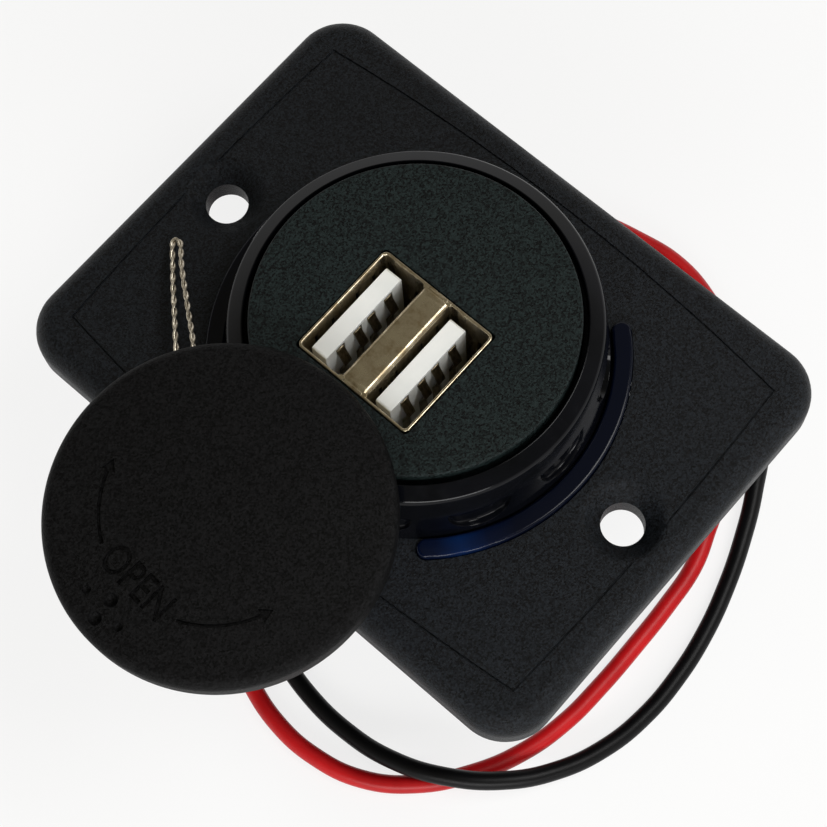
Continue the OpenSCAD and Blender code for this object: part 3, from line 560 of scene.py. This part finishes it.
leads = {
    "diameter": 2,            # mm over the insulation
    "red": redRoute,
    "black": blackRoute,
}

bareEnd = {
    "length": 6,              # mm of strands past the insulation
    "strands": 7,
    "strand": 0.4,            # mm across one strand
    "reach": 0.39,            # mm from the bundle's axis to a strand's
    "pitch": 14,              # mm for one full twist
    "side": Vector((0, 0, 1)),
    "steps": 8,
}


def makeBareEnd(name, route, node):
    # seven tinned strands, one of them in the middle, that go on past the insulation
    last = Vector(route[-1])
    ahead = (last - Vector(route[-2])).normalized()
    step = bareEnd["length"] / bareEnd["steps"]
    path = [last + ahead * (step * k) for k in range(bareEnd["steps"] + 1)]
    strands = [twistStrand(name, path, dict(bareEnd, reach=0), 0)]
    outer = bareEnd["strands"] - 1
    for k in range(outer):
        strands.append(twistStrand(name, path, bareEnd, 2 * math.pi * k / outer))
    piece = joinAll(strands)
    piece.name = name
    finishPiece(piece, [node], "tinnedCopper")
    return piece


def layLead(name, route, diameter, node, material):
    curve = bpy.data.curves.new(name, "CURVE")
    curve.dimensions = "3D"
    curve.bevel_depth = diameter / 2 * mm
    curve.bevel_resolution = 6
    curve.resolution_u = 8
    curve.use_fill_caps = True
    spline = curve.splines.new("BEZIER")
    spline.bezier_points.add(len(route) - 1)
    for point, place in zip(spline.bezier_points, route):
        point.co = Vector(place) * mm
        point.handle_left_type = "AUTO"
        point.handle_right_type = "AUTO"
    lead = bpy.data.objects.new(name, curve)
    bpy.context.scene.collection.objects.link(lead)
    curve.materials.append(materials[material])
    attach(lead, "root")
    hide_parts(node)
    print(name, "is", round(spline.calc_length() * 1000), "mm long")


redEnd = makeBareEnd("tinnedEndRed", redRoute, "tinned_end_red")
blackEnd = makeBareEnd("tinnedEndBlack", blackRoute, "tinned_end_black")
layLead("redLead", leads["red"], leads["diameter"], "lead_red", "redVinyl")
layLead("blackLead", leads["black"], leads["diameter"], "lead_black", "blackVinyl")

# tether, two steel wires twisted together, from the plate's hole to the cap's boss

tether = {
    "strand": 0.32,           # mm across one wire
    "reach": 0.16,            # mm from the pair's axis to a wire's
    "pitch": 2.7,             # mm for one full twist
    "side": Vector((1, 0, 0)),
    "steps": 10,
    "route": [
        (-9.6, -21.3, 1.9), (-9.6, -21.3, 3.4), (-9.6, -21.3, 4.9), (-10.3, -21.2, 6.2),
        (-11.8, -20.6, 7), (-13.4, -19.6, 7.3), (-15, -18.5, 7.3), (-16.6, -17.4, 7.3),
        (-18.2, -16.1, 7.2), (-20, -14.4, 7), (-21.8, -12.7, 6.7), (-23.6, -11, 6.4),
        (-25.3, -9.3, 6.1), (-26.7, -7.9, 5.9), (-26.8, -7.2, 5.9), (-26, -7.4, 6),
        (-24.6, -8.7, 6.5), (-22.9, -10.1, 7), (-21.2, -11.4, 7.5), (-19.5, -12.7, 8.1),
        (-17.9, -13.9, 8.6), (-16.4, -15.1, 9), (-15, -16.6, 9.4), (-13.8, -18.2, 9.9),
        (-12.6, -20, 10.6), (-11.6, -21.8, 11.5), (-10.7, -23.4, 12.8), (-10.2, -24.6, 14.4),
        (-10.2, -24.6, 15.5)],
}


def makeTether(name, spec):
    path = smoothRoute(spec["route"], spec["steps"])
    wire = joinAll([twistStrand(name, path, spec, 0), twistStrand(name, path, spec, math.pi)])
    wire.name = name
    finishPiece(wire, ["tether_wire"], "tetherSteel", smoothAngle=60)


makeTether("tetherWire", tether)

# bezel: a polished flared neck with a bevelled top and half-moon recesses round its wall

bezel = {
    "rings": [(17.15, 4.4), (19.57, 4.4), (19.376, 6.11), (19.182, 7.82), (18.988, 9.53),
              (18.794, 11.24), (18.6, 12.95), (16.9, 13.95), (16.9, 11.95), (16.45, 11.95),
              (16.45, 10.75), (17.15, 10.75)],
    "wallEdge": (18.6, 12.95, 0.35),    # radius, height, rounding
    "innerEdge": (16.9, 13.95, 0.2),
    "footEdge": (19.57, 4.4, 0.1),
    "recesses": 12,
    "recess": {"radius": 3.2, "middle": 8.9, "flatTop": 9.6, "depth": 0.7, "wall": 19.06,
               "draft": 6.47, "round": 0.22, "cutter": 4},
    "trim": 0.04,
}


def makeRecessCutter(spec):
    # a round block lying along X whose inner end goes into the wall, planed flat on top
    length = spec["cutter"]
    deselectAll()
    bpy.ops.mesh.primitive_cylinder_add(vertices=64, radius=spec["radius"] * mm,
                                        depth=length * mm, rotation=(0, math.pi / 2, 0))
    cutter = nameNew("recessCutter")
    bpy.ops.object.transform_apply(location=True, rotation=True, scale=True)
    bpy.ops.object.mode_set(mode="EDIT")
    bpy.ops.mesh.select_all(action="SELECT")
    bpy.ops.mesh.bisect(plane_co=(0, 0, (spec["flatTop"] - spec["middle"]) * mm),
                        plane_no=(0, 0, 1), use_fill=True, clear_outer=True)
    bpy.ops.object.mode_set(mode="OBJECT")
    bevelEdges(cutter, lambda a, b: meets(a.x, -length / 2) and meets(b.x, -length / 2),
               spec["round"], 3)
    draft = math.radians(spec["draft"])
    inner = length / 2 - spec["depth"]
    setDown(cutter, spin=(0, -spec["draft"], 0),
            place=(spec["wall"] + inner * math.cos(draft), 0,
                   spec["middle"] + inner * math.sin(draft)))
    return cutter


def makeBezel(spec):
    piece = turnRings("bezelRing", spec["rings"], 192, closed=True)
    for radius, height, width in (spec["wallEdge"], spec["innerEdge"], spec["footEdge"]):
        bevelEdges(piece, onRing(radius, height), width, 4)
    first = makeRecessCutter(spec["recess"])
    turn = 360 / spec["recesses"]
    cutters = [first] + [turnedCopy(first, turn * i) for i in range(1, spec["recesses"])]
    cutWith(piece, joinAll(cutters))
    softenEdges(piece, spec["trim"])
    finishPiece(piece, ["bezel"], "smokedPolycarbonate")


makeBezel(bezel)
print("bezel made")

# face disc: a matte lid with the port's window, on a skirt that sits round the barrel

face = {
    "rings": [(14.4, 12.5), (14.4, 6.4), (16.3, 6.4), (16.3, 14.7)],
    "edge": (16.3, 14.7, 0.25),
    "window": {"middle": (0.25, -3.15, 13.6), "size": (14.35, 13.3, 6), "corner": 0.4},
    "trim": 0.05,
}


def makeFace(spec):
    piece = turnRings("faceDisc", spec["rings"], 192)
    radius, height, width = spec["edge"]
    bevelEdges(piece, onRing(radius, height), width, 4)
    window = spec["window"]
    deselectAll()
    bpy.ops.mesh.primitive_cube_add(size=1)
    cutter = nameNew("windowCutter")
    cutter.scale = [length * mm for length in window["size"]]
    setDown(cutter, place=window["middle"])
    bevelEdges(cutter, lambda a, b: meets(a.x, b.x) and meets(a.y, b.y), window["corner"], 4)
    cutWith(piece, cutter)
    softenEdges(piece, spec["trim"])
    finishPiece(piece, ["face_disc"], "faceNylon")


makeFace(face)
print("face disc made")

# cap: a shallow dome with a word, two turning arrows and four dimples sunk in it

cap = {
    "place": (-0.4, -27.1, 14.329),
    "lean": 2,                # degrees
    "radius": 16.8, "skirt": 1.7, "shoulder": 1.2, "rise": 1.1,
    "underside": [(1, 2.69), (6, 2.58), (11, 2.29), (15.4, 1.9), (16.4, 1.7), (16.4, 0)],
    "crownRings": (14.2, 12.8, 11.4, 10, 8.6, 7, 5.2, 3.2, 1),
    "skirtEdge": 0.12,
    "boss": {"place": (-9.8, 2.5), "radius": 1.4, "hole": 0.45, "depth": 1.2, "top": 2.5,
             "edge": 0.12},
    "engraved": 0.3,          # mm deep
    "cutter": 1,              # mm of height of what engraves
    "word": {"text": "OPEN", "centre": (-0.876, -10.01), "turn": -5, "height": 3, "width": 8,
             "stroke": 0.05, "capShare": 0.7},
    "arcs": {"radius": 11.05, "stroke": 0.34, "spans": ((-122, -160, -166), (-67, -25, -19)),
             "head": 0.85},
    # distance from the cap's middle, angle round it and radius across the top
    "dimples": ((14.05, -106.9, 0.45), (12.8, -97.3, 0.7), (15, -96.4, 0.7),
                (14.1, -87.6, 0.45)),
    "dimpleBall": 1.03,       # radius of the ball that sinks a dimple, for 1 across the top
}


def domeBall(spec):
    crown = spec["radius"] - spec["shoulder"]
    return (crown ** 2 + spec["rise"] ** 2) / (2 * spec["rise"])


def domeHeight(spec, r):
    ball = domeBall(spec)
    return spec["skirt"] + spec["shoulder"] + spec["rise"] - ball + math.sqrt(ball ** 2 - r ** 2)


def capRings(spec):
    # the underside, the shoulder in steps of 15 degrees, and the crown
    crown = spec["radius"] - spec["shoulder"]
    rings = spec["underside"] + [(spec["radius"], 0)]
    for degrees in range(90, -1, -15):
        angle = math.radians(degrees)
        rings.append((crown + spec["shoulder"] * math.sin(angle),
                      spec["skirt"] + spec["shoulder"] * math.cos(angle)))
    return rings + [(r, domeHeight(spec, r)) for r in spec["crownRings"]]


def makeWordCutter(spec, word):
    deselectAll()
    bpy.ops.object.text_add()
    cutter = nameNew("wordCutter")
    cutter.data.body = word["text"]
    cutter.data.align_x = "CENTER"
    cutter.data.align_y = "CENTER"
    cutter.data.size = word["height"] / word["capShare"] * mm
    cutter.data.extrude = spec["cutter"] / 2 * mm
    cutter.data.offset = word["stroke"] * mm
    bpy.ops.object.convert(target="MESH")
    cutter = bpy.context.object
    cutter.scale = (word["width"] * mm / cutter.dimensions.x,
                    word["height"] * mm / cutter.dimensions.y, 1)
    bpy.ops.object.transform_apply(location=True, rotation=True, scale=True)
    bpy.ops.object.mode_set(mode="EDIT")
    bpy.ops.mesh.select_all(action="SELECT")
    bpy.ops.mesh.remove_doubles(threshold=weld)
    bpy.ops.mesh.normals_make_consistent(inside=False)
    bpy.ops.object.mode_set(mode="OBJECT")
    reach = math.hypot(*word["centre"])
    floor = domeHeight(spec, reach) - spec["engraved"]
    setDown(cutter, spin=(math.degrees(reach / domeBall(spec)), 0, 0))
    setDown(cutter, spin=(0, 0, word["turn"]),
            place=(*word["centre"], floor + spec["cutter"] / 2))
    return cutter


def makeArcCutter(spec, arcs, span):
    # an upright face spun along the arc, and a three-sided block for the arrow's head
    start, stop, tip = span
    middle = domeHeight(spec, arcs["radius"]) - spec["engraved"] + spec["cutter"] / 2
    deselectAll()
    bpy.ops.mesh.primitive_plane_add(size=1, rotation=(math.pi / 2, 0, 0))
    cutter = nameNew("arcCutter")
    cutter.scale = (arcs["stroke"] * mm, spec["cutter"] * mm, 1)
    bpy.ops.object.transform_apply(location=False, rotation=False, scale=True)
    bpy.ops.object.transform_apply(location=False, rotation=True, scale=False)
    setDown(cutter, place=(arcs["radius"], 0, middle))
    setDown(cutter, spin=(0, 0, start))
    bpy.ops.object.mode_set(mode="EDIT")
    bpy.ops.mesh.select_all(action="SELECT")
    bpy.ops.mesh.spin(steps=20, angle=math.radians(start - stop), center=(0, 0, 0), axis=(0, 0, 1))
    bpy.ops.mesh.select_all(action="SELECT")
    bpy.ops.mesh.normals_make_consistent(inside=False)
    bpy.ops.object.mode_set(mode="OBJECT")
    way = 1 if tip > stop else -1
    deselectAll()
    bpy.ops.mesh.primitive_cylinder_add(vertices=3, radius=arcs["head"] * mm,
                                        depth=spec["cutter"] * mm)
    head = nameNew("headCutter")
    setDown(head, spin=(0, 0, 0 if way > 0 else 180))
    angle = math.radians(tip) - way * arcs["head"] / arcs["radius"]
    setDown(head, spin=(0, 0, math.degrees(angle)),
            place=(arcs["radius"] * math.cos(angle), arcs["radius"] * math.sin(angle), middle))
    return cutter, head


def makeDimpleCutter(spec, dimple):
    r, angle, across = dimple
    ball = spec["dimpleBall"] * across
    deselectAll()
    bpy.ops.mesh.primitive_uv_sphere_add(segments=32, ring_count=24, radius=ball * mm)
    cutter = nameNew("dimpleCutter")
    lift = math.sqrt(ball ** 2 - across ** 2)
    angle = math.radians(angle)
    setDown(cutter, place=(r * math.cos(angle), r * math.sin(angle), domeHeight(spec, r) + lift))
    return cutter


def makeCap(spec):
    piece = turnRings("capDome", capRings(spec), 192)
    bevelEdges(piece, onRing(spec["radius"], 0), spec["skirtEdge"], 3)
    cutWith(piece, makeWordCutter(spec, spec["word"]))
    for span in spec["arcs"]["spans"]:
        arc, head = makeArcCutter(spec, spec["arcs"], span)
        cutWith(piece, arc)
        cutWith(piece, head)
    cutWith(piece, joinAll([makeDimpleCutter(spec, d) for d in spec["dimples"]]))
    boss = spec["boss"]
    stud = turnRings("capBoss", [(boss["hole"], boss["depth"]), (boss["hole"], 0),
                                 (boss["radius"], 0), (boss["radius"], boss["top"])], 48)
    bevelEdges(stud, onRing(boss["radius"], 0), boss["edge"], 2)
    setDown(stud, place=(*boss["place"], 0))
    piece = joinAll([piece, stud])
    setDown(piece, spin=(spec["lean"], 0, 0), place=spec["place"])
    finishPiece(piece, ["cap"], "capNylon")


makeCap(cap)
print("cap made")

# ports: a folded nickel shell round two white tongues

ports = {
    "centre": (0.25, -3.15),
    "front": 14.7,
    "divider": 1.605,         # mm from the middle to either port
    "fold": 0.5,              # mm of rounding where the sheet folds at the divider
    "dividerHalf": 6,         # mm along the divider from its middle
    "rimFrom": (6.6, 6.1),    # mm from the middle, past which the front's edges are the rim's
    "rimRound": 0.15,
    "tongues": ((-5.765, -3.865), (2.565, 4.465)),
    "tongueHalf": 5.55, "tongueTop": 13.4, "tongueFoot": 1.2,
    "tongueRound": 0.3,
    "shellTrim": 0.03, "insulatorTrim": 0.04,
}


def makeShell(spec):
    piece = copySolid("usb_shell")
    x, y = spec["centre"]

    def onDivider(a, b):
        return all(meets(abs(p.x - x), spec["divider"]) and meets(p.z, spec["front"])
                   and abs(p.y - y) < spec["dividerHalf"] for p in (a, b))

    def onRim(a, b):
        front = meets(a.z, spec["front"]) and meets(b.z, spec["front"])
        ends = all(abs(p.x - x) > spec["rimFrom"][0] for p in (a, b))
        sides = all(abs(p.y - y) > spec["rimFrom"][1] for p in (a, b))
        return front and (ends or sides)

    bevelEdges(piece, onDivider, spec["fold"], 5)
    bevelEdges(piece, onRim, spec["rimRound"], 3)
    softenEdges(piece, spec["shellTrim"])
    finishPiece(piece, ["usb_shell"], "nickelPlate")


def makeInsulator(spec):
    piece = copySolid("usb_insulator")
    x, y = spec["centre"]

    def onTongue(a, b):
        # an edge of a tongue lies on two of the tongue's flat faces
        for low, high in spec["tongues"]:
            flats = 0
            for way, level in ((0, x + low), (0, x + high), (1, y - spec["tongueHalf"]),
                               (1, y + spec["tongueHalf"]), (2, spec["tongueTop"])):
                flats += meets(a[way], level) and meets(b[way], level)
            if flats >= 2 and max(a.z, b.z) > spec["tongueFoot"]:
                return True
        return False

    bevelEdges(piece, onTongue, spec["tongueRound"], 4)
    softenEdges(piece, spec["insulatorTrim"])
    finishPiece(piece, ["usb_insulator"], "whitePolyester")


makeShell(ports)
makeInsulator(ports)
print("ports made")

# barrel: its moulded thread is a groove that winds down the tube

barrel = {
    "radius": 14.25,
    "pitch": 1.5,             # mm of rise for one turn
    "groove": 0.42,           # mm, radius of the round groove
    "proud": 0.05,            # mm from the tube's face to the groove's middle
    "top": -0.6, "bottom": -21.8,
    "sides": 72,
}


def makeBarrel(spec):
    piece = copySolid("barrel")
    turns = (spec["top"] - spec["bottom"]) / spec["pitch"]
    count = int(turns * spec["sides"])
    curve = bpy.data.curves.new("threadCutter", "CURVE")
    curve.dimensions = "3D"
    curve.bevel_depth = spec["groove"] * mm
    curve.bevel_resolution = 1
    curve.use_fill_caps = True
    spline = curve.splines.new("POLY")
    spline.points.add(count)
    for k, point in enumerate(spline.points):
        angle = 2 * math.pi * k / spec["sides"]
        reach = spec["radius"] + spec["proud"]
        point.co = (reach * math.cos(angle) * mm, reach * math.sin(angle) * mm,
                    (spec["top"] - spec["pitch"] * k / spec["sides"]) * mm, 1)
    cutter = bpy.data.objects.new("threadCutter", curve)
    bpy.context.scene.collection.objects.link(cutter)
    makeActive(cutter)
    bpy.ops.object.convert(target="MESH")
    cutWith(piece, bpy.context.object)
    finishPiece(piece, ["barrel"], "housingNylon")


makeBarrel(barrel)
print("barrel made")

# pieces that keep the solids' own shape, with softened edges

# node, slot, material and mm of softening
dressed = [
    ("mounting_plate", "plate_plastic", "plateNylon", 0.05),
    ("light_ring", "blue_light_guide", "blueAcrylic", 0),
    ("upper_contacts", "contact_metal", "contactBronze", 0.04),
    ("lower_contacts", "contact_metal", "contactBronze", 0.04),
    ("retaining_nut", "housing_plastic", "housingNylon", 0.12),
    ("rear_cover", "housing_plastic", "housingNylon", 0.15),
    ("lead_grommet", "component_black", "grommetRubber", 0.1),
    ("circuit_board", "board_green", "boardLacquer", 0),
    ("controller_chip", "component_black", "chipEpoxy", 0),
    ("storage_coil", "component_black", "chipEpoxy", 0.1),
    ("input_capacitor", "capacitor_sleeve", "capacitorSleeve", 0),
    ("output_capacitor", "capacitor_sleeve", "capacitorSleeve", 0),
    ("diode", "component_black", "chipEpoxy", 0.1),
    ("ring_leds", "lamp_white", "lampEpoxy", 0.1),
    ("tether_crimp", "tinned_copper", "tinnedCopper", 0.1),
]
for node, slot, material, soft in dressed:
    piece = copySolid(node)
    if soft:
        softenEdges(piece, soft)
    finishPiece(piece, [node], material)
print("pieces dressed:", len(dressed))

# floor, lamps and world

studio = {
    "floor": 1.6,             # m across
    "below": 0.1,             # mm from the rear cover down to the floor, clear of the leads
    "floorColour": "#f4f4f4",
    "shown": 0.8,             # share of the floor's white that no shadow touches
    # lamps: place and size in m
    "key": {"place": (0.15, 0.12, 0.33), "size": (0.18, 0.18), "watts": 0.7},
    "fill": {"place": (0.38, -0.38, 0.26), "size": (0.5, 0.16), "watts": 2.4},
    # from the horizon to straight overhead
    "sky": [(0, "#ffffff"), (0.22, "#fbfaf7"), (0.42, "#a8a49c"), (0.62, "#7a766c"),
            (1, "#75705f")],
}


def makeFloor(spec, height):
    deselectAll()
    bpy.ops.mesh.primitive_plane_add(size=spec["floor"])
    floor = nameNew("floor")
    setDown(floor, place=(0, 0, height))
    material, tree = newMaterial("paleBackdrop")
    path = addNode(tree, "ShaderNodeLightPath")
    plain = addNode(tree, "ShaderNodeBsdfDiffuse",
                    inputs=[("Color", linearColour(spec["floorColour"]))])
    white = addNode(tree, "ShaderNodeEmission",
                    inputs=[("Color", linearColour("#ffffff")), ("Strength", 1)])
    glossy = addNode(tree, "ShaderNodeMath", {"operation": "ADD"},
                     links=[(0, path.outputs["Is Camera Ray"]),
                            (1, path.outputs["Is Glossy Ray"])])
    every = addNode(tree, "ShaderNodeMath", {"operation": "ADD", "use_clamp": True},
                    links=[(0, glossy.outputs[0]), (1, path.outputs["Is Transmission Ray"])])
    seen = addNode(tree, "ShaderNodeMath", {"operation": "MULTIPLY"}, [(1, spec["shown"])],
                   [(0, every.outputs[0])])
    blend = addNode(tree, "ShaderNodeMixShader",
                    links=[(0, seen.outputs[0]), (1, plain.outputs[0]), (2, white.outputs[0])])
    finishMaterial(tree, blend)
    floor.data.materials.append(material)


def makeLamp(name, spec):
    bpy.ops.object.light_add(type="AREA", location=spec["place"])
    lamp = nameNew(name)
    lamp.data.shape = "RECTANGLE"
    lamp.data.size, lamp.data.size_y = spec["size"]
    lamp.data.energy = spec["watts"]
    lamp.rotation_mode = "QUATERNION"
    lamp.rotation_quaternion = (-Vector(spec["place"])).to_track_quat("-Z", "Y")


def makeWorld(sky):
    # a pale room: white round the horizon, dimmer overhead
    world = bpy.data.worlds.new("paleRoom")
    world.use_nodes = True
    tree = world.node_tree
    where = addNode(tree, "ShaderNodeTexCoord").outputs["Generated"]
    parts = addNode(tree, "ShaderNodeSeparateXYZ", links=[("Vector", where)])
    shade = addTint(tree, parts.outputs["Z"], sky)
    tree.links.new(shade, tree.nodes["Background"].inputs["Color"])
    bpy.context.scene.world = world


makeFloor(studio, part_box("rear_cover")[0].z / mm - studio["below"])
makeLamp("keyLamp", studio["key"])
makeLamp("fillLamp", studio["fill"])
makeWorld(studio["sky"])
bpy.context.scene.view_settings.view_transform = "Standard"
print("studio lit")
